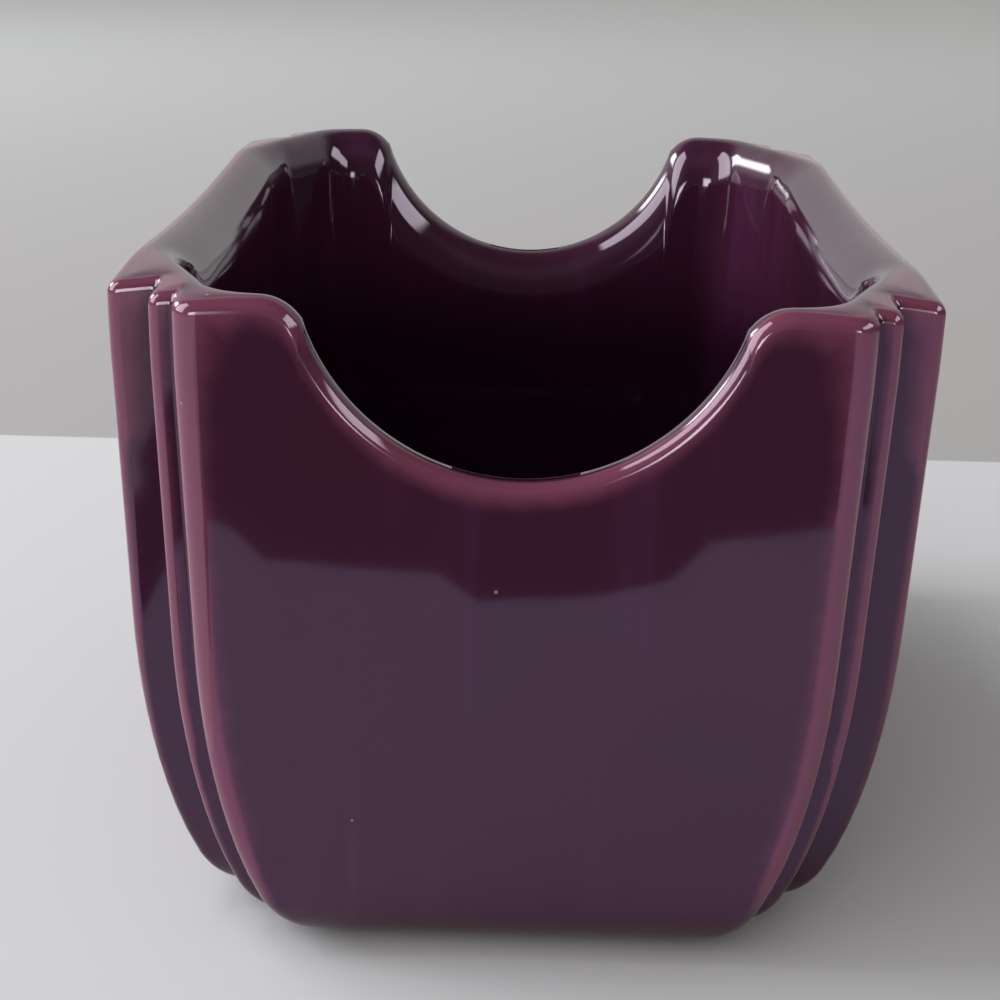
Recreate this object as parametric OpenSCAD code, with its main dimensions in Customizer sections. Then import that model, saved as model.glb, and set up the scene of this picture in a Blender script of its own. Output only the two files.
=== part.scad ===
// Sugar packet holder: a glazed china box with stepped corner ribs and a finger scoop
// in the front and the back wall. Millimetres, +Z up, origin at the bottom centre.

/* [Body] */
// Overall width over the glaze, left to right
body_width = 66.4; // [61:0.2:90]
// Overall depth over the glaze, front to back
body_depth = 92; // [80:1:130]
// Height over the glaze, from the table to the corner tops
body_height = 57.5; // [50:0.5:80]
// Thickness of the fired clay wall
clay_wall = 5.2; // [4:0.1:6]
// How far each wall leans in from its rim to the table
wall_lean = 1.5; // [0.5:0.1:2.5]
// How far the two side rims dip between the corners
rim_dip = 0.8; // [0:0.1:2]

/* [Rim] */
// Radius of the clay along the rim's outer edge
rim_edge_radius = 0.9; // [0.5:0.1:1]
// How far the rim's crest stands in from its outer edge
rim_crest = 1.2; // [1.2:0.1:1.6]
// How far down the rim's broad inner roll reaches
roll_height = 5.2; // [3:0.1:6]
// How far the crest stands in from the creases at each corner
crest_gap = 1.5; // [1.2:0.1:1.8]
// Radius of the crest's two bends at each corner
crest_bend = 6; // [3:0.5:7]

/* [Corner ribs] */
// How far the side panel stands out beside the corner rib
outer_step_across = 4.2; // [3:0.1:5]
// How far the side panel stops short of the corner rib
outer_step_along = 4.8; // [3:0.1:6]
// How far the corner rib stands out beside the front panel
inner_step_across = 2.2; // [2.1:0.1:4]
// How far the corner rib stops short of the front panel
inner_step_along = 3; // [2.3:0.1:4]
// Radius of the clay along the edges of the side panels and the corner ribs
rib_edge_radius = 0.6; // [0.3:0.1:1.2]
// Radius of the clay along the upright edges of the front and back panels
panel_edge_radius = 1.5; // [0.5:0.1:1.8]
// Radius of the clay in each crease between the ribs
rib_crease_radius = 0.7; // [0.5:0.1:0.9]

/* [Lower curve] */
// How far the sides curve in towards the foot
side_curve_in = 8.8; // [4:0.1:10]
// How far up the sides that curve reaches
side_curve_rise = 27; // [16:1:34]
// Radius at the lower edge of the front and the back
front_curve = 4.5; // [2:0.1:7]

/* [Scoops] */
// Radius of each finger scoop in the clay
scoop_radius = 18; // [16:0.1:20]
// Depth of each finger scoop below the corner tops
scoop_depth = 14.2; // [9:0.1:17]
// Radius of the shoulders beside each scoop
shoulder_radius = 3.5; // [2.5:0.1:5]

/* [Pocket] */
// Thickness of the clay between the creases and the pocket's cut corners
corner_wall = 4; // [3.5:0.1:5]
// Radius of the two bends of each cut corner
pocket_bend = 4; // [2:0.5:5]
// Thickness of the clay floor over the recess
floor_thickness = 4.2; // [3:0.1:7]
// Radius where the pocket's walls meet its floor
floor_curve = 6; // [3:0.5:9]

/* [Foot] */
// How far the bare foot ring stands below the base
foot_height = 0.9; // [0.7:0.1:2]
// How far the foot ring stands in from the edge of the base
foot_inset = 2.5; // [1.5:0.1:3.5]
// Width of the foot ring where it rests on the table
foot_width = 2.4; // [1.5:0.1:3.5]
// Height of the recess inside the foot ring
recess_height = 1.3; // [1:0.1:2.5]

/* [Glaze] */
// Thickness of the fired glaze
glaze = 0.3; // [0.2:0.05:0.45]

/* [Hidden] */

clay_colour = [0.88, 0.85, 0.79];
glaze_colour = [0.36, 0.16, 0.27];

clay_half_width = body_width / 2 - glaze;
clay_half_depth = body_depth / 2 - glaze;
clay_top = body_height - glaze;
rim_line = clay_top - roll_height;
clay_floor = recess_height + floor_thickness;

// The three nested outlines: side panel, corner rib and front panel, as [across, along] drops
rib_drops = [
    [0, outer_step_along + inner_step_along],
    [outer_step_across, inner_step_along],
    [outer_step_across + inner_step_across, 0]
];
edge_radii = [rib_edge_radius, rib_edge_radius, panel_edge_radius];

// Columns of a quarter of the rim, from the middle of a side to the middle of a scoop
side_shares = [0, 0.35, 0.7];
panel_shares = [0, 0.4, 0.75];
edge_angles = [0, 45, 90];
crease_angles = [0, 90];
bend_steps = 6;
right_angle = 90;
shoulder_steps = 3;
scoop_steps = 7;

// Rows up the outside, over the rim and down the pocket
outside_shares = [0, 0.004, 0.018, 0.05, 0.1, 0.18, 0.3, 0.46, 0.72, 1];
rim_edge_angles = [45, 90];
roll_angles = [0, 30, 60];
pocket_shares = [1, 0.7, 0.42, 0.22, 0.12, 0.055, 0.018, 0];

// A scoop's edge turns steep at its shoulders, where its rounding may be this much taller
steep_share = 3;

// How steeply the rim's top falls from its crest to its outer edge, and where along the side
// the columns start to turn for the corner, as a share of the depth
rim_dome = 0.15;
corner_share = 0.5;

// The scoop's arc hangs from a centre above the rim and meets the shoulders at this angle
scoop_centre = clay_top - scoop_depth + scoop_radius;
shoulder_drop = scoop_centre - clay_top + shoulder_radius;
shoulder_x = sqrt(pow(scoop_radius + shoulder_radius, 2) - pow(shoulder_drop, 2));
meet_angle = atan2(shoulder_x, shoulder_drop);

// Edge of the scoop as [x, height, slope], from the shoulder down to the middle
scoop_edge = concat(
    [for (i = [0 : shoulder_steps - 1])
        let (turn = meet_angle * i / shoulder_steps)
        [
            shoulder_x - shoulder_radius * sin(turn),
            clay_top - shoulder_radius * (1 - cos(turn)),
            turn
        ]],
    [for (i = [0 : scoop_steps])
        let (turn = meet_angle * (1 - i / scoop_steps))
        [scoop_radius * sin(turn), scoop_centre - scoop_radius * cos(turn), turn]]
);

side_count = len(side_shares);
flat_count = side_count + len(panel_shares);
rib_count = len(rib_drops);
rib_columns = len(edge_angles) + len(crease_angles);
corner_count = rib_count * rib_columns - len(crease_angles);
scoop_count = len(scoop_edge);
quarter_count = flat_count + corner_count + scoop_count;

// Where the flat side ends at the rim, and the places of its columns as shares of it
side_end = clay_half_depth - rib_drops[0][1] - rib_edge_radius;
corner_y = corner_share * clay_half_depth;
flat_shares = concat(
    [for (share = side_shares) share * corner_y / side_end],
    [for (share = panel_shares) (corner_y + share * (side_end - corner_y)) / side_end]
);

// How far a wall has leaned in at a height, counted down from where the rim's round starts
function lean_at(z) = wall_lean * max(0, 1 - z / rim_line);

// How far the lower curve has come in at a height, with a skin over the clay
function curve_at(z, reach, rise, skin) =
    let (up = foot_height + rise - z)
    up <= 0 ? 0 : (reach + skin) * (1 - sqrt(max(0, 1 - pow(up / (rise + skin), 2))));

// Half width and half depth of the outside at a height
function outside_half(z, skin) = [
    clay_half_width + skin - lean_at(z) - curve_at(z, side_curve_in, side_curve_rise, skin),
    clay_half_depth + skin - lean_at(z) - curve_at(z, front_curve, front_curve, skin)
];

// How far the pocket's floor curve has come in at a height
function floor_curve_at(z, skin) =
    let (up = clay_floor + floor_curve - z)
    up <= 0 ? 0 : floor_curve - sqrt(max(0, pow(floor_curve - skin, 2) - pow(up, 2))) - skin;

// Half width and half depth of the pocket at a height
function pocket_half(z, skin) =
    let (half = outside_half(z, 0), in = clay_wall + skin + floor_curve_at(z, skin))
    [half[0] - in, half[1] - in];

// Half width of the flat front panel, from its middle to its edge radius
function panel_half(half, skin) = half[0] - rib_drops[rib_count - 1][0] - panel_edge_radius - skin;

// Where a scoop column stands on the panel, as a share of the panel's flat half
function scoop_share(i) =
    scoop_edge[i][0] / panel_half(outside_half(scoop_edge[i][1], 0), 0);

// A point on a rib's edge or in the crease after it
function rib_point(i, half, skin) =
    let (
        rib = floor(i / rib_columns),
        step = i - rib * rib_columns,
        drop = rib_drops[rib],
        edge = edge_radii[rib] + skin,
        crease = rib_crease_radius - skin
    )
    step < len(edge_angles)
        ? let (turn = edge_angles[step])
            [
                half[0] - drop[0] - edge * (1 - cos(turn)),
                half[1] - drop[1] - edge * (1 - sin(turn))
            ]
        : let (turn = crease_angles[step - len(edge_angles)], next = rib_drops[rib + 1])
            [
                half[0] - next[0] + crease * (1 - sin(turn)),
                half[1] - drop[1] + crease * (1 - cos(turn))
            ];

// A point of the stepped outline, counted from the middle of a side
function outline_point(i, half, skin) =
    i < flat_count
        ? [half[0], flat_shares[i] * (half[1] - rib_drops[0][1] - rib_edge_radius - skin)]
        : i < flat_count + corner_count
            ? rib_point(i - flat_count, half, skin)
            : [scoop_share(i - flat_count - corner_count) * panel_half(half, skin), half[1]];

// The rim's crest and the pocket cut each corner off in line with the creases: how far a point
// is along that line, and the bends at its ends
cut_lean = atan2(inner_step_across, outer_step_along);
function progress(p) = p[1] * cos(cut_lean) - p[0] * sin(cut_lean);
function bend_points(x, y, first, last, radius) =
    let (
        back = radius * tan((last - first) / 2),
        centre_x = x + back * sin(first) - radius * cos(first),
        centre_y = y - back * cos(first) - radius * sin(first)
    )
    [for (step = [0 : bend_steps])
        let (turn = first + (last - first) * step / bend_steps)
        [centre_x + radius * cos(turn), centre_y + radius * sin(turn)]];

// A cut corner, from the side to the scoop's shoulder, for a plan that stands in from the clay
function plan_half(inset) = [clay_half_width - inset, clay_half_depth - inset];
function plan_side(inset, share) =
    let (half = plan_half(inset))
    [half[0], share * corner_share * half[1]];
function cut_corner(inset, gap, radius) =
    let (
        half = plan_half(inset),
        crease_x = clay_half_width - rib_drops[1][0],
        crease_y = clay_half_depth - rib_drops[0][1],
        reach = crease_x * cos(cut_lean) + crease_y * sin(cut_lean) - gap,
        cut_y = (reach - half[0] * cos(cut_lean)) / sin(cut_lean),
        cut_x = (reach - half[1] * sin(cut_lean)) / cos(cut_lean)
    )
    concat(
        [plan_side(inset, 1)],
        bend_points(half[0], cut_y, 0, cut_lean, radius),
        bend_points(cut_x, half[1], cut_lean, right_angle, radius),
        [[shoulder_x, half[1]]]
    );

// Places of all columns on such a plan, each as far along its corner as the column outside is
function plan_points(inset, gap, radius) =
    let (
        corner = cut_corner(inset, gap, radius),
        from = progress(corner[0]),
        to = progress(corner[len(corner) - 1]),
        across = [for (p = corner) [progress(p), p[0]]],
        along = [for (p = corner) [progress(p), p[1]]],
        outer = plan_half(0),
        first = progress(outline_point(side_count, outer, 0)),
        last = progress([shoulder_x, clay_half_depth])
    )
    concat(
        [for (share = side_shares) plan_side(inset, share)],
        [for (i = [side_count : flat_count + corner_count - 1])
            let (
                share = (progress(outline_point(i, outer, 0)) - first) / (last - first),
                at = from + share * (to - from)
            )
            [lookup(at, across), lookup(at, along)]],
        [for (edge = scoop_edge) [edge[0], plan_half(inset)[1]]]
    );
crest_points = plan_points(rim_crest, crest_gap, crest_bend);
pocket_points = plan_points(clay_wall, corner_wall, pocket_bend);

// A point of the pocket's wall
function pocket_point(i, z, skin) =
    let (half = pocket_half(z, skin), at_rim = plan_half(clay_wall), p = pocket_points[i])
    [p[0] * half[0] / at_rim[0], p[1] * half[1] / at_rim[1]];

// Height of the clay rim's crest over a column, and the slope of its edge there
function rim_top(i) =
    i < flat_count
        ? clay_top - rim_dip * pow(1 - pow(flat_shares[i], 2), 2)
        : i < flat_count + corner_count ? clay_top : scoop_edge[i - flat_count - corner_count][1];
function rim_slope(i) =
    i < flat_count + corner_count ? 0 : scoop_edge[i - flat_count - corner_count][2];

// One column of the surface: under the base edge, up the outside, over the rim's edge and
// crest, and down its inner roll and the pocket to its floor
function column(i, skin) =
    let (
        crest = crest_points[i],
        stretch = min(steep_share, 1 / cos(rim_slope(i))),
        flat = norm(crest - outline_point(i, plan_half(0), 0)) - rim_edge_radius,
        start = rim_top(i) - rim_dome * max(0, flat) - rim_edge_radius * stretch,
        pocket_start = rim_top(i) - roll_height * stretch,
        edge = rim_edge_radius + skin,
        roll = roll_height + skin,
        base = foot_height - skin,
        floor_z = clay_floor + skin,
        outer = outline_point(i, outside_half(start, skin), skin),
        inward = (crest - outer) / norm(crest - outer),
        inner = pocket_point(i, pocket_start, skin)
    )
    concat(
        [for (share = outside_shares)
            let (z = base + share * (start - base), p = outline_point(i, outside_half(z, skin), skin))
            [p[0], p[1], z]],
        [for (turn = rim_edge_angles)
            let (p = outer + edge * (1 - cos(turn)) * inward)
            [p[0], p[1], start + edge * stretch * sin(turn)]],
        [for (turn = roll_angles)
            let (p = crest + sin(turn) * (inner - crest))
            [p[0], p[1], pocket_start + roll * stretch * cos(turn)]],
        [for (share = pocket_shares)
            let (
                z = floor_z + share * (pocket_start - floor_z),
                p = pocket_point(i, z, skin)
            )
            [p[0], p[1], z]]
    );

// The foot's rings: half sizes that stand in from the edge of the base
base_half = outside_half(foot_height, 0);
foot_outer = base_half - [foot_inset, foot_inset];
foot_inner = foot_outer - [foot_width, foot_width];
function flat_point(i, half, z) =
    let (p = outline_point(i, half, 0))
    [p[0], p[1], z];

// Quarter columns and their mirror images, all round the rim
ring_count = 4 * quarter_count - 4;
function quarter_index(k) =
    let (
        half_ring = 2 * quarter_count - 2,
        j = k % half_ring
    )
    j < quarter_count ? j : half_ring - j;
function mirrored(p, k) =
    let (
        turn = floor(k / (quarter_count - 1)),
        sign_x = turn == 1 || turn == 2 ? -1 : 1,
        sign_y = turn == 2 || turn == 3 ? -1 : 1
    )
    [sign_x * p[0], sign_y * p[1], p[2]];

// All points of a surface from one column function's results, column by column
function ring_columns(columns) = [
    for (k = [0 : ring_count - 1])
        for (p = columns[quarter_index(k)])
            mirrored(p, k)
];

// Triangles between neighbouring columns of a surface, and from its last row to a middle point
function strip_faces(rows, first, flip) = [
    for (k = [0 : ring_count - 1], r = [0 : rows - 2])
        let (
            a = first + k * rows + r,
            b = first + ((k + 1) % ring_count) * rows + r,
            quad = [[a, a + 1, b], [b, a + 1, b + 1]]
        )
        each [for (t = quad) flip ? [t[0], t[2], t[1]] : t]
];
function fan_faces(rows, first, row, middle, flip) = [
    for (k = [0 : ring_count - 1])
        let (
            a = first + k * rows + row,
            b = first + ((k + 1) % ring_count) * rows + row
        )
        flip ? [a, b, middle] : [a, middle, b]
];

module china_body() {
    columns = [
        for (i = [0 : quarter_count - 1])
            concat(
                [
                    flat_point(i, foot_inner, recess_height),
                    flat_point(i, foot_inner, 0),
                    flat_point(i, foot_outer, 0),
                    flat_point(i, foot_outer, foot_height)
                ],
                column(i, 0)
            )
    ];
    rows = len(columns[0]);
    under = ring_count * rows;
    color(clay_colour)
        polyhedron(
            points = concat(
                ring_columns(columns),
                [[0, 0, recess_height], [0, 0, clay_floor]]
            ),
            faces = concat(
                strip_faces(rows, 0, false),
                fan_faces(rows, 0, 0, under, true),
                fan_faces(rows, 0, rows - 1, under + 1, false)
            )
        );
}

module glaze_coat() {
    clay_side = [for (i = [0 : quarter_count - 1])
        concat([flat_point(i, foot_outer, foot_height)], column(i, 0))];
    air_side = [for (i = [0 : quarter_count - 1])
        concat([flat_point(i, foot_outer, foot_height - glaze)], column(i, glaze))];
    rows = len(clay_side[0]);
    second = ring_count * rows;
    middle = 2 * second;
    closing = [
        for (k = [0 : ring_count - 1])
            let (
                a = k * rows,
                b = ((k + 1) % ring_count) * rows
            )
            each [[a, second + a, b], [b, second + a, second + b]]
    ];
    color(glaze_colour)
        polyhedron(
            points = concat(
                ring_columns(clay_side),
                ring_columns(air_side),
                [[0, 0, clay_floor], [0, 0, clay_floor + glaze]]
            ),
            faces = concat(
                strip_faces(rows, 0, true),
                strip_faces(rows, second, false),
                fan_faces(rows, 0, rows - 1, middle, true),
                fan_faces(rows, second, rows - 1, middle + 1, false),
                closing
            )
        );
}

module underside_glaze() {
    outline = [
        for (k = [0 : ring_count - 1])
            let (p = mirrored(flat_point(quarter_index(k), foot_inner, 0), k))
            [p[0], p[1]]
    ];
    color(glaze_colour)
        translate([0, 0, recess_height - glaze])
            linear_extrude(glaze)
                polygon(outline);
}

china_body();
glaze_coat();
underside_glaze();
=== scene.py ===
"""Looks of a glazed china sugar packet holder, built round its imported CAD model."""

import math

import bmesh
import bpy
import numpy as np
from mathutils import Matrix, Vector, noise


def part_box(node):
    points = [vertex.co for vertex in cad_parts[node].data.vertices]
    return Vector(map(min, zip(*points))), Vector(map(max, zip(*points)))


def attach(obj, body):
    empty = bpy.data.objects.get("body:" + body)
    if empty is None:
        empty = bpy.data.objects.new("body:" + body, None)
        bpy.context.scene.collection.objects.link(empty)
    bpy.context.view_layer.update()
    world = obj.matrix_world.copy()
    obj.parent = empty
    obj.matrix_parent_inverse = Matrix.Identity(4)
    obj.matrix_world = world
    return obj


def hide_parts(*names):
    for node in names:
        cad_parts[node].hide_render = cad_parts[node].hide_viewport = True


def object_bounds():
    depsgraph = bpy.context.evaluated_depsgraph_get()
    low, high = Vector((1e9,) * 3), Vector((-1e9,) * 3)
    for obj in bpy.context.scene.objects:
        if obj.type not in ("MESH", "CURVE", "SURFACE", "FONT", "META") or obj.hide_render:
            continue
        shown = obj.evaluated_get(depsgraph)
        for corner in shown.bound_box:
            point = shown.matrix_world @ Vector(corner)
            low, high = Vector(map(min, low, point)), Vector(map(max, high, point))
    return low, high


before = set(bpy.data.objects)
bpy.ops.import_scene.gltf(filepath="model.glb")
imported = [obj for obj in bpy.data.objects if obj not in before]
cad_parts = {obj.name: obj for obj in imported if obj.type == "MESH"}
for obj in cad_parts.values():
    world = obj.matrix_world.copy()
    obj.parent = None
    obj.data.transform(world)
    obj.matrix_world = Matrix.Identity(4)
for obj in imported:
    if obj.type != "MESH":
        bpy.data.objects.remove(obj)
cad_low, cad_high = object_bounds()

# The clay body: one piece of slip-cast china with stepped corner ribs, a finger scoop in its
# front and back walls, sides that curve in to the foot, and a dry ring that it stands on. Its
# sizes are in millimetres. A quarter is drawn up in rings, from the recess to the pocket.
MILLIMETRE = 0.001
clay_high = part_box("china_body")[1] / MILLIMETRE
clay_half = (clay_high.x, clay_high.y)
clay_top = clay_high.z
wall = 5.2
wall_lean = 1.5
rim_dip = 0.8
rim_edge = 0.9
rim_crest = 1.2
rim_dome = 0.15
roll_height = 5.2
rim_line = clay_top - roll_height
rib_drops = ((0, 7.8), (4.2, 3.0), (6.4, 0))
edge_radii = (0.6, 0.6, 1.5)
crease_radius = 0.7
side_curve = (8.8, 27)
front_curve = (4.5, 4.5)
scoop_radius = 18
scoop_depth = 14.2
shoulder_radius = 3.5
steepest = 3
corner_start = clay_half[1] / 2
corner_crest = (1.5, 6)
corner_wall = (4.0, 4)
floor_curve = 6
recess_height = 1.3
pocket_floor = recess_height + 4.2
foot_height = 0.9
foot_inset = 2.5
foot_width = 2.4
foot_wear = 0.35
wear_bend = 0.3
mirror_gap = 0.001
double_gap = 0.0005
warm_clay = (0.66, 0.58, 0.46, 1)
pale_clay = (0.78, 0.72, 0.62, 1)
dark_speck = (0.16, 0.10, 0.07, 1)
cloud_count = 160
sand_count = 2600
speck_count = 1500
speck_range = (0.74, 0.78)
speck_share = 0.7
sand_relief = 0.00006

scoop_centre = clay_top - scoop_depth + scoop_radius
shoulder_drop = scoop_centre - clay_top + shoulder_radius
shoulder_x = math.sqrt((scoop_radius + shoulder_radius) ** 2 - shoulder_drop ** 2)
meet_angle = math.atan2(shoulder_x, shoulder_drop)
cut_lean = math.atan2(rib_drops[2][0] - rib_drops[1][0], rib_drops[0][1] - rib_drops[1][1])


def even(steps):
    """Even shares from 0 up to, but without, 1."""
    return [step / steps for step in range(steps)]


def curved_in(up, reach, rise):
    """How far a quarter round has come in, at a height measured down from its top."""
    return reach * (1 - math.sqrt(max(0, 1 - (max(0, up) / rise) ** 2)))


def outside_half(z, skin):
    """Half width and half depth of the box at a height, with a skin over the clay."""
    lean = wall_lean * max(0, 1 - z / rim_line)
    halves = []
    for half, (reach, rise) in zip(clay_half, (side_curve, front_curve)):
        curve = curved_in(foot_height + rise - z, reach + skin, rise + skin)
        halves.append(half + skin - lean - curve)
    return halves


def pocket_half(z, skin):
    """Half width and half depth of the pocket at a height."""
    bend = floor_curve - skin
    curve = curved_in(pocket_floor + floor_curve - z, bend, bend)
    return [half - wall - skin - curve for half in outside_half(z, 0)]


def rib_edge(rib, share):
    """A place on the rounded edge of a rib: 0 faces the side and 1 faces the front."""
    turn = share * math.pi / 2
    across, along = rib_drops[rib]

    def place(half, skin):
        radius = edge_radii[rib] + skin
        x = half[0] - across - radius * (1 - math.cos(turn))
        return x, half[1] - along - radius * (1 - math.sin(turn))

    return place


def rib_crease(rib, share):
    """A place in the hollow between a rib and the next one."""
    turn = share * math.pi / 2
    along = rib_drops[rib][1]
    across = rib_drops[rib + 1][0]

    def place(half, skin):
        radius = crease_radius - skin
        x = half[0] - across + radius * (1 - math.sin(turn))
        return x, half[1] - along + radius * (1 - math.cos(turn))

    return place


def between(first, second, share):
    """A place on the straight from one place to another."""

    def place(half, skin):
        return tuple(p + share * (q - p) for p, q in zip(first(half, skin), second(half, skin)))

    return place


def side_middle(half, skin):
    """The middle of the side panel."""
    return half[0], 0


def front_middle(half, skin):
    """The middle of the front panel."""
    return 0, half[1]


def corner_places(arc_steps, straight_shares):
    """Places round the stepped corner, from the side panel's edge to the front panel's."""
    places = []
    for rib in range(len(rib_drops)):
        places += [rib_edge(rib, step / arc_steps) for step in range(arc_steps + 1)]
        if rib + 1 < len(rib_drops):
            crease = [rib_crease(rib, step / arc_steps) for step in range(arc_steps + 1)]
            into = [between(places[-1], crease[0], share) for share in straight_shares]
            next_rib = rib_edge(rib + 1, 0)
            out = [between(crease[-1], next_rib, share) for share in straight_shares]
            places += into + crease + out
    return places


def scoop_edge(shoulder_steps, scoop_steps):
    """The scoop's edge as (x, height, slope), from its shoulder down to its middle."""
    edge = []
    for share in even(shoulder_steps):
        turn = meet_angle * share
        x = shoulder_x - shoulder_radius * math.sin(turn)
        edge.append((x, clay_top - shoulder_radius * (1 - math.cos(turn)), turn))
    for step in range(scoop_steps + 1):
        turn = meet_angle * (1 - step / scoop_steps)
        x = scoop_radius * math.sin(turn)
        edge.append((x, scoop_centre - scoop_radius * math.cos(turn), turn))
    return edge


def progress(point):
    """How far a point of a plan is along the cut corner, from the side to the front."""
    return point[1] * math.cos(cut_lean) - point[0] * math.sin(cut_lean)


class Plan:
    """A quarter of a box in plan, its corner cut in line with the creases between the ribs."""

    bend_steps = 12

    def __init__(self, inset, crease_gap, bend):
        self.half = [side - inset for side in clay_half]
        crease_drops = (rib_drops[1][0], rib_drops[0][1])
        crease = [side - drop for side, drop in zip(clay_half, crease_drops)]
        across, along = math.cos(cut_lean), math.sin(cut_lean)
        reach = crease[0] * across + crease[1] * along - crease_gap
        cut_y = (reach - across * self.half[0]) / along
        cut_x = (reach - along * self.half[1]) / across
        self.corner = [self.side(1)]
        bends = ((self.half[0], cut_y, 0, cut_lean), (cut_x, self.half[1], cut_lean, math.pi / 2))
        for x, y, first, last in bends:
            back = bend * math.tan((last - first) / 2)
            x += back * math.sin(first) - bend * math.cos(first)
            y -= back * math.cos(first) + bend * math.sin(first)
            for share in [*even(self.bend_steps), 1]:
                turn = first + share * (last - first)
                self.corner.append((x + bend * math.cos(turn), y + bend * math.sin(turn)))
        self.corner.append(self.front(shoulder_x))

    def side(self, share):
        """The point of the side that is a share of the way from its middle to the corner."""
        return self.half[0], share * corner_start * self.half[1] / clay_half[1]

    def front(self, x):
        """The point of the front at a distance from its middle."""
        return x, self.half[1]

    def round_corner(self, share):
        """The point that is a share of the way along the corner."""
        along = [progress(point) for point in self.corner]
        at = along[0] + share * (along[-1] - along[0])
        return [float(np.interp(at, along, [point[i] for point in self.corner])) for i in (0, 1)]


class Column:
    """An upright line of the box: its outside, its place on the rim's crest and its pocket."""

    rim_half = [side - wall for side in clay_half]

    def __init__(self, outside, crest, pocket, top=clay_top, slope=0):
        self.outside = outside
        self.crest = crest
        self.pocket = pocket
        self.top = top
        self.stretch = 1 / max(math.cos(slope), 1 / steepest)
        flat = math.dist(crest, self.outer(clay_top, 0)[:2]) - rim_edge
        self.dome = rim_dome * max(0, flat)
        self.start = top - self.dome - rim_edge * self.stretch
        self.pocket_start = top - roll_height * self.stretch

    def outer(self, z, skin):
        """A point of the outside at a height."""
        return (*self.outside(outside_half(z, skin), skin), z)

    def inner(self, z, skin):
        """A point of the pocket at a height."""
        half = pocket_half(z, skin)
        return (*(p * now / rim for p, now, rim in zip(self.pocket, half, self.rim_half)), z)

    def edge(self, share, skin):
        """A point of the rim's outer edge, from the wall at 0 to the rim's top at 1."""
        x, y, start = self.outer(self.start, skin)
        turn = math.pi / 2 * share
        radius = rim_edge + skin
        over = radius * (1 - math.cos(turn)) / math.dist((x, y), self.crest)
        rise = radius * self.stretch * math.sin(turn)
        return x + over * (self.crest[0] - x), y + over * (self.crest[1] - y), start + rise

    def top_side(self, share, skin):
        """A point of the rim's gently domed top, from its edge at 0 to its crest at 1."""
        x, y, z = self.edge(1, skin)
        fall = self.dome * (1 - share) ** 2
        z = self.top - fall + skin * self.stretch
        return x + share * (self.crest[0] - x), y + share * (self.crest[1] - y), z

    def roll(self, share, skin):
        """A point of the rim's inner roll, from its crest at 0 to the pocket's wall at 1."""
        x, y, start = self.inner(self.pocket_start, skin)
        turn = math.pi / 2 * share
        over = math.sin(turn)
        rise = (roll_height + skin) * self.stretch * math.cos(turn)
        place = (c + over * (p - c) for c, p in zip(self.crest, (x, y)))
        return (*place, start + rise)


def box_columns(side_shares, panel_shares, arc_steps, straight_shares, shoulder_steps, scoop_steps):
    """Columns of a quarter of the box, from the middle of a side to the middle of a scoop."""
    half = outside_half(clay_top, 0)
    crest = Plan(rim_crest, *corner_crest)
    pocket = Plan(wall, *corner_wall)
    side_end = rib_edge(0, 0)(half, 0)[1]
    panel_end = rib_edge(2, 1)(half, 0)[0]
    columns = []

    def dipped(y):
        """The rim's height on a side, lowest in its middle."""
        return clay_top - rim_dip * (1 - (y / side_end) ** 2) ** 2

    for share in side_shares:
        y = share * corner_start
        outside = between(side_middle, rib_edge(0, 0), y / side_end)
        columns.append(Column(outside, crest.side(share), pocket.side(share), dipped(y)))

    starts = between(side_middle, rib_edge(0, 0), corner_start / side_end)
    shoulder = between(front_middle, rib_edge(2, 1), shoulder_x / panel_end)
    corner = [between(starts, rib_edge(0, 0), share) for share in panel_shares]
    corner += corner_places(arc_steps, straight_shares)
    corner += [between(corner[-1], shoulder, share) for share in straight_shares]
    first, last = (progress(place(half, 0)) for place in (starts, shoulder))
    for place in corner:
        point = place(half, 0)
        share = (progress(point) - first) / (last - first)
        top = dipped(min(point[1], side_end)) if point[0] > half[0] - edge_radii[0] else clay_top
        columns.append(Column(place, crest.round_corner(share), pocket.round_corner(share), top))

    for x, top, slope in scoop_edge(shoulder_steps, scoop_steps):
        outside = between(front_middle, rib_edge(2, 1), x / panel_end)
        columns.append(Column(outside, crest.front(x), pocket.front(x), top, slope))
    return columns


def upright_rows(columns, skin, curve_steps, wall_steps, rim_steps, floor_steps):
    """Rings of points up the outside, over the rim and down the pocket to its floor."""
    base = foot_height - skin
    curve = front_curve[1] / (clay_top - base)
    quarter = math.pi / 2
    up = [curve * (1 - math.cos(quarter * share)) for share in even(curve_steps)]
    up += [curve + (1 - curve) * share for share in even(wall_steps)]
    floor = pocket_floor + skin
    bend = floor_curve / (clay_top - floor)
    down = [1 - (1 - bend) * share for share in even(wall_steps)]
    down += [bend * (1 - math.sin(quarter * share)) for share in even(floor_steps)] + [0]
    edge_steps, top_steps, roll_steps = rim_steps
    rows = [[c.outer(base + share * (c.start - base), skin) for c in columns] for share in up]
    rows += [[c.edge(share, skin) for c in columns] for share in even(edge_steps)]
    rows += [[c.top_side(share, skin) for c in columns] for share in even(top_steps)]
    rows += [[c.roll(share, skin) for c in columns] for share in even(roll_steps)]
    for share in down:
        rows.append([c.inner(floor + share * (c.pocket_start - floor), skin) for c in columns])
    return rows


def flat_row(columns, inset, z):
    """A ring of the base's outline, set in from its edge."""
    half = [side - inset for side in outside_half(foot_height, 0)]
    return [(*column.outside(half, 0), z) for column in columns]


def shrunk_rows(row, shares):
    """Rings of a flat, from one row in towards the middle."""
    return [[(x * share, y * share, z) for x, y, z in row] for share in shares]


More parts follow.
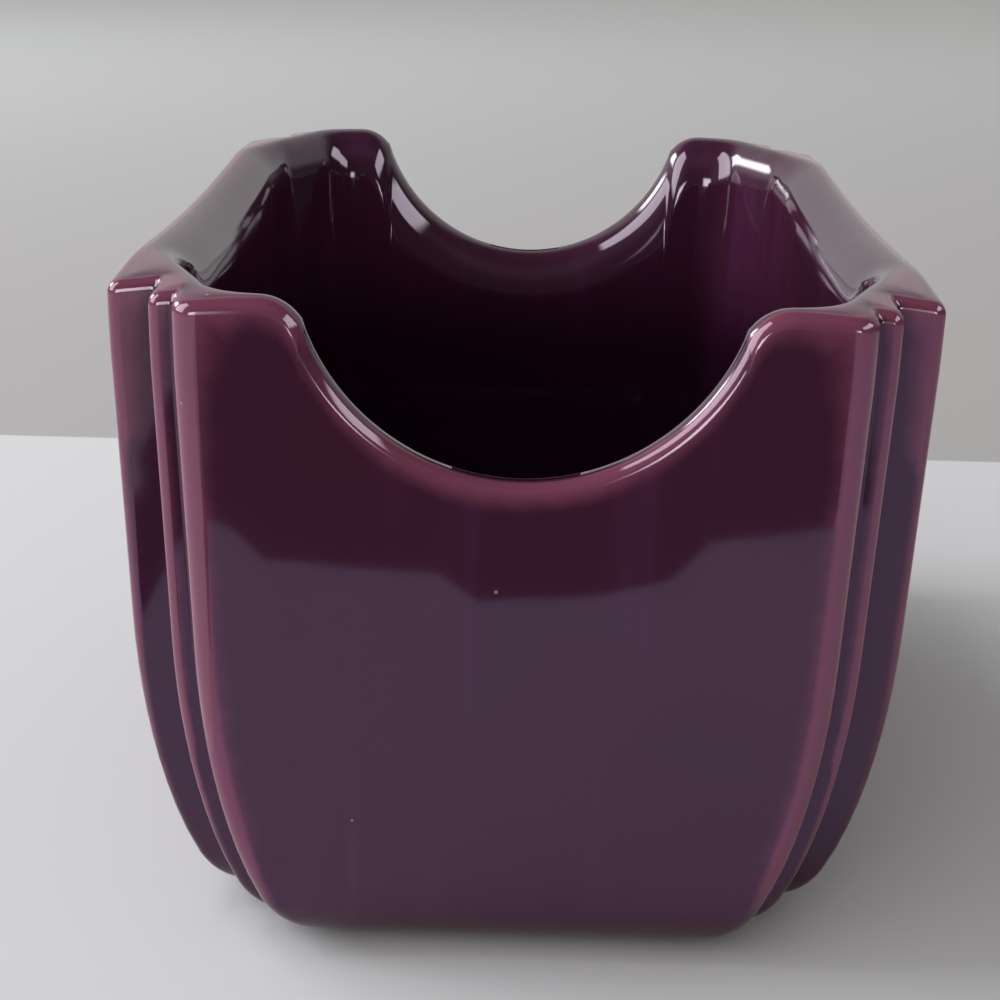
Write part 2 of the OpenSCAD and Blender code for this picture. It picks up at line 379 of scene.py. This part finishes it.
def raise_quarter(rows):
    """Extrudes a line of edges from each row of points to the next, and returns the mesh."""
    bm = bmesh.new()
    line = [bm.verts.new(point) for point in rows[0]]
    edges = [bm.edges.new(pair) for pair in zip(line, line[1:])]
    for row in rows[1:]:
        number = {vert: i for i, vert in enumerate(line)}
        raised = bmesh.ops.extrude_edge_only(bm, edges=edges)["geom"]
        edges = [part for part in raised if isinstance(part, bmesh.types.BMEdge)]
        for vert in [part for part in raised if isinstance(part, bmesh.types.BMVert)]:
            around = [edge.other_vert(vert) for edge in vert.link_edges]
            spot = next(number[other] for other in around if other in number)
            line[spot] = vert
            vert.co = row[spot]
    return bm


def mirror_quarter(bm):
    """Mirrors a quarter to the whole box, and closes the holes in the middle of its flats."""
    for axis in "XY":
        parts = bm.verts[:] + bm.edges[:] + bm.faces[:]
        bmesh.ops.mirror(bm, geom=parts, axis=axis, merge_dist=mirror_gap)
    bmesh.ops.remove_doubles(bm, verts=bm.verts, dist=double_gap)
    bmesh.ops.holes_fill(bm, edges=[edge for edge in bm.edges if edge.is_boundary])
    bmesh.ops.recalc_face_normals(bm, faces=bm.faces)


def china_piece(name, bm, material):
    """Turns a bmesh in millimetres into the piece that stands for the CAD node of its name."""
    bmesh.ops.scale(bm, vec=(MILLIMETRE,) * 3, verts=bm.verts)
    mesh = bpy.data.meshes.new(name)
    bm.to_mesh(mesh)
    bm.free()
    mesh.shade_smooth()
    mesh.materials.append(material)
    piece = bpy.data.objects.new(name + "_finished", mesh)
    bpy.context.scene.collection.objects.link(piece)
    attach(piece, "root")
    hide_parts(name)
    return piece


class Wire:
    """A socket that can be reckoned with: a sum on wires adds its Math nodes."""

    def __init__(self, finish, socket):
        self.finish = finish
        self.socket = socket

    def sum(self, operation, first, second):
        """The wire that a Math node makes of two values."""
        return self.finish.node("Math", {"operation": operation}, {0: first, 1: second})

    def __add__(self, other):
        return self.sum("ADD", self, other)

    def __radd__(self, other):
        return self.sum("ADD", other, self)

    def __sub__(self, other):
        return self.sum("SUBTRACT", self, other)

    def __rsub__(self, other):
        return self.sum("SUBTRACT", other, self)

    def __mul__(self, other):
        return self.sum("MULTIPLY", self, other)

    def __rmul__(self, other):
        return self.sum("MULTIPLY", other, self)


class Finish:
    """A material, or the world where one is given, that is made node by node."""

    def __init__(self, name, world=None):
        self.owner = world or bpy.data.materials.new(name)
        self.owner.use_nodes = True
        self.tree = self.owner.node_tree
        self.tree.nodes.clear()

    def node(self, kind, settings=None, sockets=None, output=0):
        """Adds a node, sets it up, fills or links its sockets, and returns an output."""
        made = self.tree.nodes.new("ShaderNode" + kind)
        for name, value in (settings or {}).items():
            setattr(made, name, value)
        for name, value in (sockets or {}).items():
            if isinstance(value, Wire):
                self.tree.links.new(value.socket, made.inputs[name])
            else:
                made.inputs[name].default_value = value
        return Wire(self, made.outputs[output]) if made.outputs else None

    def step(self, value, low, high):
        """0 below low, 1 above high, and smooth between."""
        limits = {"Value": value, "From Min": low, "From Max": high}
        return self.node("MapRange", {"interpolation_type": "SMOOTHSTEP"}, limits)

    def mix(self, share, first, second):
        """A colour between two colours."""
        return self.node("Mix", {"data_type": "RGBA"}, {0: share, 6: first, 7: second}, 2)

    def noise(self, place, count, detail=2):
        """Cloudy patches from 0 to 1, count of them to the metre."""
        settings = {"noise_dimensions": "3D"}
        return self.node("TexNoise", settings, {"Vector": place, "Scale": count, "Detail": detail})

    def bump(self, height, strength, distance):
        """A surface direction for a small relief."""
        sockets = {"Height": height, "Strength": strength, "Distance": distance}
        return self.node("Bump", None, sockets)

    def close(self, surface):
        """Links the last shader to the material's output."""
        self.node("OutputMaterial", None, {"Surface": surface})
        return self.owner


def bare_clay():
    """Dry vitrified clay: warm and pale, a little sandy, with fine dark specks."""
    finish = Finish("bare_clay")
    place = finish.node("TexCoord", None, None, "Object")
    cloud = finish.noise(place, cloud_count)
    grain = finish.noise(place, sand_count, 4)
    speck = finish.step(finish.noise(place, speck_count, 0), *speck_range)
    colour = finish.mix(cloud, warm_clay, pale_clay)
    colour = finish.mix(speck * speck_share, colour, dark_speck)
    shader = finish.node("BsdfPrincipled", None, {
        "Base Color": colour,
        "Roughness": 0.78 + grain * 0.16,
        "Normal": finish.bump(grain, 0.5, sand_relief),
    })
    return finish.close(shader)


clay_columns = box_columns(
    side_shares=even(6),
    panel_shares=even(4),
    arc_steps=4,
    straight_shares=(0.5,),
    shoulder_steps=5,
    scoop_steps=14,
)
foot_outer = foot_inset
foot_inner = foot_inset + foot_width
foot_rings = [
    (foot_inner + foot_wear, recess_height),
    (foot_inner, recess_height - foot_wear),
    (foot_inner, foot_wear),
    (foot_inner - wear_bend * foot_wear, wear_bend * foot_wear),
    (foot_inner - foot_wear, 0),
    (foot_outer + foot_wear, 0),
    (foot_outer + wear_bend * foot_wear, wear_bend * foot_wear),
    (foot_outer, foot_wear),
    (foot_outer, foot_height),
]
clay_foot = [flat_row(clay_columns, inset, z) for inset, z in foot_rings]
clay_wall = upright_rows(
    clay_columns, skin=0, curve_steps=5, wall_steps=12, rim_steps=(4, 2, 6), floor_steps=6
)
clay_rows = [*shrunk_rows(clay_foot[0], (0.3, 0.7)), *clay_foot, *clay_wall]
clay_rows += shrunk_rows(clay_wall[-1], (0.7, 0.3))
clay_mesh = raise_quarter(clay_rows)
mirror_quarter(clay_mesh)
china_piece("china_body", clay_mesh, bare_clay())

# The plum glaze: one glassy skin from the foot, up the outside, over the rim and down into
# the pocket. It drew off the edges as it melted, so it is thin and rosy there, and it ran
# together deep and dark in the creases. The pocket has painted shade: no rosy edges inside it,
# and darker plum the deeper it lies. Its face is not quite even, as on all such ware.
glaze = cad_high.z / MILLIMETRE - clay_top
wave_height = 0.045
wave_length = 14
calm_height = 12
spread_steps = 14
spread_share = 0.5
shortest_edge = 0.000001
rim_thinner = 0.09
rim_tilt = (0.2, 0.8)
rib_thinner = 0.09
rib_across = 1 - rib_drops[2][0] / clay_half[0]
rib_along = 1 - rib_drops[0][1] / clay_half[1]
# Faces turned into the pocket lose their rosy edge colour by this turn, so the pocket's inner roll
# stays dark: painted shade.
pocket_turn = (0.22, 0.02)
foot_fade = (2, 12)
foot_line = foot_height + 1
panel_fade = (rib_along, rib_along - 0.06)
curve_fade = (side_curve[1], side_curve[1] - 8)
panel_thicker = 0.8
# Painted shade in the pocket: how far its walls and floor are darkened towards dark plum, and the
# heights over which this grows with depth.
painted_pocket_shade = 0.12
pocket_shade_fade = (rim_line, rim_line - 22)
floor_tilt = 0.5
scoop_low = clay_top - scoop_depth - roll_height
deep_maroon = (0.048, 0.0108, 0.0255, 1)
deep_violet = (0.044, 0.0108, 0.0285, 1)
violet_streak = (0.085, 0.020, 0.068, 1)
thin_rose = (0.190, 0.050, 0.090, 1)
# Dark plum for glaze pooled in creases, and for the painted shade in the pocket.
pooled_and_shaded_plum = (0.010, 0.0012, 0.008, 1)
pit_grey = (0.42, 0.34, 0.36, 1)
glass_tint = (0.94, 0.84, 1, 1)
drift_count = 45
drift_range = (0.35, 0.65)
mottle_count = 420
mottle_reach = 0.05
streak_count = 210
streak_stretch = (1, 1, 0.08)
streak_range = (0.5, 0.8)
streak_share = 0.5
rose_range = (0.07, 0.20)
rose_share = 0.9
pool_and_shade_range = (0.03, 0.12)
pool_and_shade_share = 0.85
ripple_count = 260
ripple_relief = 0.00002
glass_index = 1.58
# Four pinholes that the fire left in the front, as their places and radii in metres.
pit_edge = 0.00006
pit_share = 0.6
pinholes = [
    ((-0.0017, -0.0455, 0.0343), 0.00018),
    ((-0.0132, -0.0449, 0.0133), 0.00014),
    ((-0.0240, -0.0445, 0.0574), 0.00016),
    ((-0.0261, -0.0455, 0.0491), 0.00014),
]


def ramp(value, start, end):
    """0 up to start, 1 past end, and a straight rise between, whichever of them is higher."""
    return np.clip((value - start) / (end - start), 0, 1)


def standing_out(points, normals, ends):
    """How far each point stands out of the surface when that is smoothed along its edges."""
    count = len(points)
    a, b = ends.T
    weight = 1 / np.maximum(np.linalg.norm(points[a] - points[b], axis=1), shortest_edge)
    total = np.bincount(a, weight, count) + np.bincount(b, weight, count)
    spread = points.copy()
    for _ in range(spread_steps):
        pulled = np.empty_like(spread)
        for axis in range(3):
            place = spread[:, axis]
            drawn = np.bincount(a, weight * place[b], count)
            drawn += np.bincount(b, weight * place[a], count)
            pulled[:, axis] = drawn / total
        spread += spread_share * (pulled - spread)
    return ((points - spread) * normals).sum(axis=1)


def thinness_and_shade(mesh):
    """How thin the glaze lies: above 0 on edges and the rim, below 0 in hollows where it pooled,
    and below 0 in the pocket as painted shade.
    """
    points = np.empty(len(mesh.vertices) * 3)
    mesh.vertices.foreach_get("co", points)
    points = points.reshape(-1, 3) / MILLIMETRE
    normals = np.array([vert.normal for vert in mesh.vertices])
    ends = np.empty(len(mesh.edges) * 2, int)
    mesh.edges.foreach_get("vertices", ends)
    thin = standing_out(points, normals, ends.reshape(-1, 2))

    height = points[:, 2]
    upward = normals[:, 2]
    across, along = (np.abs(points[:, i]) / clay_half[i] for i in (0, 1))
    inward = -(points[:, :2] * normals[:, :2] / clay_half).sum(axis=1)
    inside = (inward > 0) | ((upward > floor_tilt) & (height < scoop_low))
    thin += rim_thinner * ramp(upward, *rim_tilt) * (height > scoop_low)
    thin += rib_thinner * (across > rib_across) * (along > rib_along)
    # Inside the pocket the rosy edge colour is taken away: painted shade.
    thin *= ramp(inward, *pocket_turn) * ramp(height, *foot_fade)
    low_panel = ramp(along, *panel_fade) * ramp(height, *curve_fade)
    thin *= 1 - panel_thicker * low_panel * ~inside
    # Painted shade: the pocket is pushed towards dark plum, more the deeper it lies.
    deep = ramp(height, *pocket_shade_fade) * (height > foot_line)
    return thin - painted_pocket_shade * inside * deep


def plum_glaze():
    """Deep plum glass, rosy where it is thin, dark where it pooled and with painted shade in the
    pocket, with slow clouds of violet and maroon.
    """
    finish = Finish("plum_glaze")
    place = finish.node("TexCoord", None, None, "Object")
    thin = finish.node("Attribute", {"attribute_name": "thinness_and_shade"}, None, "Fac")
    drift = finish.noise(place, drift_count)
    mottle = finish.noise(place, mottle_count, 3)
    drawn = finish.node("Mapping", None, {"Vector": place, "Scale": streak_stretch})
    streak = finish.noise(drawn, streak_count)
    colour = finish.mix(finish.step(drift, *drift_range), deep_maroon, deep_violet)
    streaky = finish.step(streak, *streak_range)
    colour = finish.mix(streaky * streak_share, colour, violet_streak)
    rosy = finish.step(thin + (mottle - 0.5) * mottle_reach, *rose_range)
    colour = finish.mix(rosy * rose_share, colour, thin_rose)
    # Dark plum where the glaze pooled in creases, and painted shade down in the pocket.
    pooled_and_shaded = finish.step(0 - thin, *pool_and_shade_range)
    colour = finish.mix(pooled_and_shaded * pool_and_shade_share, colour, pooled_and_shaded_plum)
    for spot, radius in pinholes:
        gap = finish.node("VectorMath", {"operation": "DISTANCE"}, {0: place, 1: spot}, "Value")
        pit = finish.step(radius - gap, 0, pit_edge)
        colour = finish.mix(pit * pit_share, colour, pit_grey)
    ripple = finish.bump(finish.noise(place, ripple_count, 1), 0.25, ripple_relief)
    shader = finish.node("BsdfPrincipled", None, {
        "Base Color": colour,
        "Roughness": 0.035 + mottle * 0.05,
        "IOR": glass_index,
        "Specular Tint": glass_tint,
        "Normal": ripple,
    })
    return finish.close(shader)


def glaze_waves(bm):
    """Moves each point a little way into the glaze, in slow waves that leave the floor even."""
    bm.normal_update()
    for vert in bm.verts:
        wave = noise.noise(vert.co / wave_length)
        if vert.co.z < calm_height:
            wave *= 1 - max(vert.normal.z, 0)
        vert.co -= vert.normal * wave_height * (1 + wave) / 2


glaze_columns = box_columns(
    side_shares=even(12),
    panel_shares=(*even(6), 0.92),
    arc_steps=6,
    straight_shares=(0.08, 0.5, 0.92),
    shoulder_steps=8,
    scoop_steps=28,
)
glaze_back = upright_rows(
    glaze_columns, skin=0, curve_steps=5, wall_steps=10, rim_steps=(3, 2, 6), floor_steps=5
)
glaze_back.insert(0, flat_row(glaze_columns, foot_outer, foot_height))
glaze_lip = [flat_row(glaze_columns, foot_outer, foot_height - glaze)]
glaze_lip.append(flat_row(glaze_columns, foot_outer - glaze, foot_height - glaze))
glaze_wall = upright_rows(
    glaze_columns, skin=glaze, curve_steps=10, wall_steps=22, rim_steps=(6, 5, 12), floor_steps=10
)
glaze_rows = shrunk_rows(glaze_back[-1], (0.3, 0.7)) + glaze_back[::-1] + glaze_lip
glaze_rows += glaze_wall + shrunk_rows(glaze_wall[-1], (0.92, 0.7, 0.45, 0.2))
glaze_mesh = raise_quarter(glaze_rows)
mirror_quarter(glaze_mesh)
glaze_waves(glaze_mesh)
glaze_coat = china_piece("glaze_coat", glaze_mesh, plum_glaze())
coat_thinness_and_shade = glaze_coat.data.attributes.new("thinness_and_shade", "FLOAT", "POINT")
coat_thinness_and_shade.data.foreach_set("value", thinness_and_shade(glaze_coat.data))

# The underside glaze: the patch that fills the recess inside the dry foot ring. It is the same
# plum glass, of one thickness all over.
glaze_plate = flat_row(glaze_columns, foot_inner, recess_height - glaze)
plate_rows = [flat_row(glaze_columns, foot_inner, recess_height), glaze_plate]
plate_rows += shrunk_rows(glaze_plate, (0.97, 0.9, 0.6, 0.3))
plate_mesh = raise_quarter([*shrunk_rows(plate_rows[0], (0.3, 0.6, 0.9)), *plate_rows])
mirror_quarter(plate_mesh)
plum = bpy.data.materials["plum_glaze"]
underside = china_piece("underside_glaze", plate_mesh, plum)
underside.data.attributes.new("thinness_and_shade", "FLOAT", "POINT")

# The floor: a pale matt sheet that the box stands on. Beyond a seam just behind the box it is
# the slightly greyer backdrop, darkest at the seam and paler with distance: a painted shade,
# as at the foot of a wall. From here on sizes are metres.
floor_reach = 2
seam_y = 0.099
seam_width = 0.001
pale_grey = (0.70, 0.70, 0.70, 1)
near_backdrop = (0.465, 0.448, 0.438, 1)
far_backdrop = (0.63, 0.632, 0.624, 1)


def floor_finish():
    """Matt pale paint up to the seam, and the greyer backdrop beyond it."""
    finish = Finish("pale_floor")
    place = finish.node("TexCoord", None, None, "Object")
    along = finish.node("SeparateXYZ", None, {0: place}, 1)
    beyond = finish.step(along, seam_y, seam_y + seam_width)
    # Painted shade: the backdrop is darkest at the seam and grows paler with distance.
    backdrop = finish.mix(finish.step(along, 0.1, 0.8), near_backdrop, far_backdrop)
    shader = finish.node("BsdfPrincipled", None, {
        "Base Color": finish.mix(beyond, pale_grey, backdrop),
        "Roughness": 0.9,
        "Specular IOR Level": 0,
    })
    return finish.close(shader)


def stage_sheet(name, plan, height, material):
    """A flat sheet of the stage at a height, from its corners in plan."""
    mesh = bpy.data.meshes.new(name)
    sheet = bmesh.new()
    sheet.faces.new([sheet.verts.new((x, y, height)) for x, y in plan])
    sheet.to_mesh(mesh)
    sheet.free()
    mesh.materials.append(material)
    made = bpy.data.objects.new(name, mesh)
    bpy.context.scene.collection.objects.link(made)
    return made


floor_plan = [
    (-floor_reach, -floor_reach),
    (floor_reach, -floor_reach),
    (floor_reach, floor_reach),
    (-floor_reach, floor_reach),
]
stage_sheet("floor", floor_plan, 0, floor_finish())

# The cards: five thin sheets just over the floor, which only mirror rays see. The blue one gives
# the lower part of the box its bluish sheen, three dark ones deepen the tones of its front and
# its back corners, and the bright one lights the edges on its left.
dark_paper = (0.05, 0.045, 0.05, 1)
blue_paper = (0.68, 0.66, 0.88, 1)
bright_glow = (1, 0.9, 1, 1)
blue_height = 0.0003
dark_height = 0.0005
bright_height = 0.0006
blue_plan = [(-0.049, -0.047), (-0.049, -0.60), (0.30, -0.60), (0.30, -0.047)]
dark_plan = [
    (-0.056, -0.19), (-0.20, -0.9), (0.20, -0.9), (0.056, -0.19), (0.048, -0.142),
    (0.038, -0.138), (0.025, -0.134), (0.019, -0.121), (0.010, -0.116), (-0.005, -0.114),
    (-0.010, -0.121), (-0.021, -0.122), (-0.032, -0.124), (-0.038, -0.134), (-0.043, -0.136),
    (-0.044, -0.092), (-0.052, -0.100), (-0.054, -0.136),
]
bright_plan = [
    (-0.052, -0.135), (-0.050, 0.10), (-0.9, 0.5), (-0.9, -0.9), (-0.12, -0.5), (-0.075, -0.2),
]
far_plan = [(0.20, 0.215), (0.26, 0.12), (1.95, 0.74), (1.95, 1.95)]
far_left_plan = [(-x, y) for x, y in far_plan[::-1]]


def card_finish(name, colour):
    """Matt paper of one colour."""
    finish = Finish(name)
    shader = finish.node("BsdfDiffuse", None, {"Color": colour})
    return finish.close(shader)


def glow_finish():
    """A card that glows in mirrors but lights nothing."""
    finish = Finish("bright_card")
    shader = finish.node("Emission", None, {"Color": bright_glow, "Strength": 1})
    finish.owner.cycles.emission_sampling = "NONE"
    return finish.close(shader)


dark = card_finish("dark_card", dark_paper)
mirrored_cards = [
    stage_sheet("blue_card", blue_plan, blue_height, card_finish("blue_card", blue_paper)),
    stage_sheet("far_card_right", far_plan, dark_height, dark),
    stage_sheet("far_card_left", far_left_plan, dark_height, dark),
    stage_sheet("dark_card", dark_plan, dark_height, dark),
    stage_sheet("bright_card", bright_plan, bright_height, glow_finish()),
]
for card in mirrored_cards:
    card.visible_camera = False
    card.visible_diffuse = False
    card.visible_shadow = False

# The room: a world that lights the box softly and evenly. To mirror rays it has dim walls with
# five bright windows, and to the camera it is a plain pale wall.
room_white = (1, 0.985, 0.985, 1)
light_white = (1, 0.985, 0.975, 1)
wall_grey = (0.62, 0.62, 0.61, 1)
shade_tone = 0.06
far_wall_tone = 0.5
left_wall_tone = 0.3
ceiling_tone = 0.1
corner_shade = 0.8
even_strength = 0.31
near_strength = 1.0
pane_side_blur = 0.12
pane_end_blur = 0.1


def room():
    """Makes the world: its even light, what mirrors see of it and what the camera sees."""
    world = bpy.data.worlds.new("soft_room")
    bpy.context.scene.world = world
    finish = Finish("soft_room", world)
    place = finish.node("TexCoord", None, None, "Generated")
    right, back, up = (finish.node("SeparateXYZ", None, {0: place}, axis) for axis in range(3))
    left = 0 - right
    near = 0 - back
    far_wall = finish.step(back, 0.1, 0.6) * (1 - finish.step(up, 0.55, 0.85))
    left_wall = finish.step(left, 0.3, 0.8) * (1 - finish.step(up, 0.5, 0.8))
    ceiling = finish.step(near, 0.1, 0.5) * finish.step(up, 0.5, 0.75)
    tone = shade_tone + far_wall_tone * far_wall + left_wall_tone * left_wall
    tone = tone + ceiling_tone * ceiling
    low_corner = finish.step(right * right, 0.45, 0.65) * (1 - finish.step(up, 0.08, 0.2))
    tone = tone * (1 - corner_shade * low_corner)

    def pane(out, along, low, high, bottom, top, bright):
        """A soft-edged window in one wall, bounded by slopes as seen from the box."""
        across = finish.step(along - out * low, 0, pane_side_blur)
        across = across * finish.step(out * high - along, 0, pane_side_blur)
        upward = finish.step(up - out * bottom, 0, pane_end_blur)
        upward = upward * finish.step(out * top - up, 0, pane_end_blur)
        return across * upward * finish.step(out, 0.02, 0.1) * bright

    tone = tone + pane(left, back, low=-0.75, high=0.28, bottom=0.10, top=1.7, bright=7)
    tone = tone + pane(left, back, low=0.30, high=0.95, bottom=0.26, top=0.78, bright=14)
    tone = tone + pane(right, back, low=-1.7, high=0.15, bottom=0.38, top=1.05, bright=6)
    tone = tone + pane(near, right, low=-0.62, high=-0.16, bottom=-0.1, top=0.26, bright=12)
    tone = tone + pane(near, right, low=0.20, high=0.48, bottom=-0.1, top=0.16, bright=10)
    near_side = finish.step(left * 0.8 + near * 0.6, 0.1, 0.8)
    lit = even_strength + near_side * near_strength

    mirror = finish.node("Background", None, {"Color": room_white, "Strength": tone})
    even_light = finish.node("Background", None, {"Color": light_white, "Strength": lit})
    plain = finish.node("Background", None, {"Color": wall_grey, "Strength": 1})
    glossy = finish.node("LightPath", None, None, "Is Glossy Ray")
    seen = finish.node("LightPath", None, None, "Is Camera Ray")
    both = finish.node("MixShader", None, {0: glossy, 1: even_light, 2: mirror})
    whole = finish.node("MixShader", None, {0: seen, 1: both, 2: plain})
    finish.node("OutputWorld", None, {"Surface": whole})


room()

# The lamps: two windows on the left and a small skylight, all soft rectangles that face the
# box. Mirror rays don't see them, because the room's own windows stand for them there.
box_middle = (0, 0, 0.03)
daylight = (0.93, 0.97, 1.06)
plain_white = (1, 1, 1)


def soft_lamp(name, place, size, watts, colour):
    """A rectangular lamp that faces the middle of the box."""
    lamp = bpy.data.lights.new(name, "AREA")
    lamp.shape = "RECTANGLE"
    lamp.size, lamp.size_y = size
    lamp.energy = watts
    lamp.color = colour
    holder = bpy.data.objects.new(name, lamp)
    holder.location = place
    facing = Vector(box_middle) - Vector(place)
    holder.rotation_euler = facing.to_track_quat("-Z", "Y").to_euler()
    holder.visible_glossy = False
    bpy.context.scene.collection.objects.link(holder)


soft_lamp("window", (-0.68, 0.52, 0.46), (0.50, 0.30), 1.7, daylight)
soft_lamp("tall_window", (-0.85, 0.02, 0.55), (0.30, 0.60), 3.9, daylight)
soft_lamp("skylight", (-0.40, 0.06, 0.88), (0.24, 0.26), 1.4, plain_white)

# The camera: where the photograph was taken from, about 13 cm in front of the box and looking
# down on it, with the lens that gives the same perspective.
lens_share = 1.8513
camera_place = (0.000033, -0.180712, 0.089223)
camera_right = Vector((0.99955565, 0.01958481, 0.02247089))
camera_up = Vector((-0.02766997, 0.32929363, 0.94382206))
camera_back = Vector((0.01108506, -0.94402444, 0.32968922))
eye = bpy.data.cameras.new("camera")
eye.sensor_width = 36
eye.lens = lens_share * eye.sensor_width
eye.clip_start = 0.01
camera = bpy.data.objects.new("camera", eye)
camera_turn = Matrix((camera_right, camera_up, camera_back)).transposed()
camera.matrix_world = Matrix.Translation(camera_place) @ camera_turn.to_4x4()
bpy.context.scene.collection.objects.link(camera)
bpy.context.scene.camera = camera
bpy.context.scene.view_settings.view_transform = "Standard"
